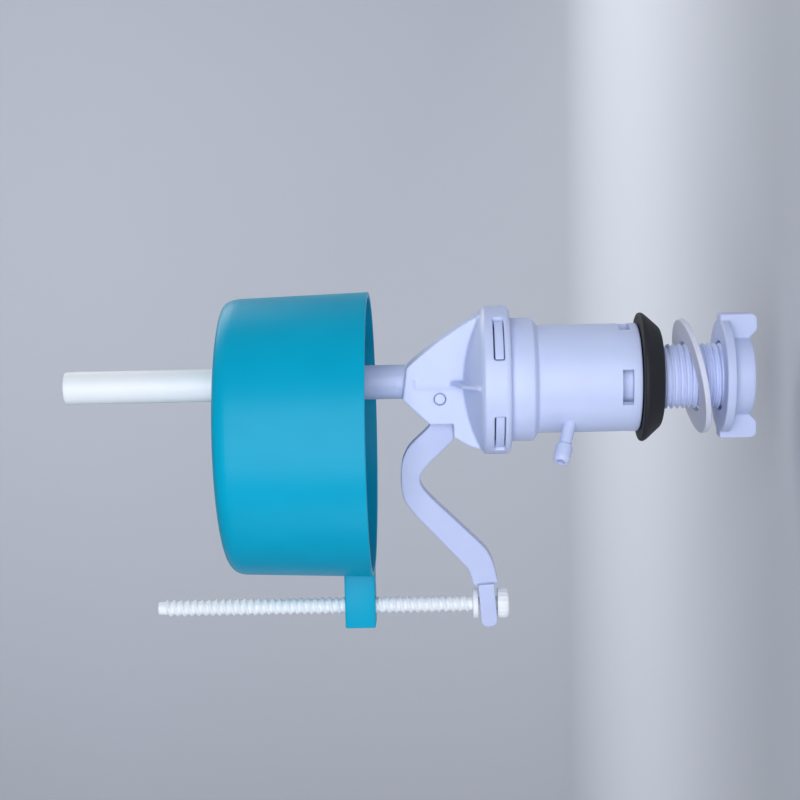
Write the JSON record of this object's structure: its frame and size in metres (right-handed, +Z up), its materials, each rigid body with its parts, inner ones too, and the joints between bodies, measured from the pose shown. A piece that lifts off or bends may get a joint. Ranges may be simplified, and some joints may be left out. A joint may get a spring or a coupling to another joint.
{
  "type": "float valve",
  "caption": "Bottom-inlet cistern float valve: threaded shank with wing nut, capped sleeve, lever, and a float cup that slides on a guide tube and hangs on a threaded rod.",
  "frame": {"origin": "centre of the hole in the cistern floor, on the face that the gasket sits on", "axes": "+Z up along the shank and the guide tube, +X towards the lever and the adjusting rod"},
  "size_m": [0.1084, 0.0908, 0.2197],
  "materials": {
    "white_plastic": "moulded acetal, cool white, soft gloss",
    "cream_plastic": "extruded and moulded polypropylene, warm white, satin",
    "teal_plastic": "moulded polypropylene, teal, gloss",
    "black_rubber": "moulded black rubber, matt",
    "grey_plastic": "moulded nylon, pale grey, satin"
  },
  "bodies": {
    "housing": {"inlet_shank": "white_plastic", "inlet_strainer": "grey_plastic", "flow_restrictor": "grey_plastic", "tank_gasket": "black_rubber", "valve_body": "white_plastic", "silencer_ring": "grey_plastic", "seat_insert": "cream_plastic", "seat_ring": "black_rubber", "diaphragm": "black_rubber", "bleed_pin": "grey_plastic", "cap": "white_plastic", "lever_pin": "grey_plastic", "guide_tube": "cream_plastic"},
    "poppet_body": {"poppet": "cream_plastic", "poppet_seal": "black_rubber"},
    "float": {"float_cup": "teal_plastic"},
    "adjuster": {"adjusting_rod": "cream_plastic"},
    "lever": {"lever_arm": "white_plastic", "vent_seal": "black_rubber"},
    "washer": {"clamp_washer": "white_plastic"},
    "nut": {"wing_nut": "white_plastic"}
  },
  "joints": [
    {"name": "float_rise", "type": "slide", "parent": "housing", "child": "float", "axis": [0, 0, 1], "range_m": [0, 0.01]},
    {"name": "lever_swing", "type": "hinge", "parent": "housing", "child": "lever", "pos_m": [0.005, 0, 0.0698], "axis": [0, -1, 0], "range_deg": [0, 8.34]},
    {"name": "rod_turn", "type": "hinge", "parent": "float", "child": "adjuster", "pos_m": [0.073, 0, 0.0556], "axis": [0, 0, 1], "continuous": true},
    {"name": "poppet_lift", "type": "slide", "parent": "housing", "child": "poppet_body", "axis": [0, 0, 1], "range_m": [0, 0.0015]},
    {"name": "washer_slide", "type": "slide", "parent": "housing", "child": "washer", "axis": [0, 0, 1], "range_m": [-0.0118, 0.0055]},
    {"name": "nut_turn", "type": "hinge", "parent": "washer", "child": "nut", "pos_m": [0, 0, -0.0186], "axis": [0, 0, 1], "range_deg": [-2340, 1080]}
  ],
  "couplings": [
    {"joint": "lever_swing", "follows": "float_rise", "rad_per_m": 14.539},
    {"joint": "washer_slide", "follows": "nut_turn", "m_per_rad": 0.00028871}
  ]
}
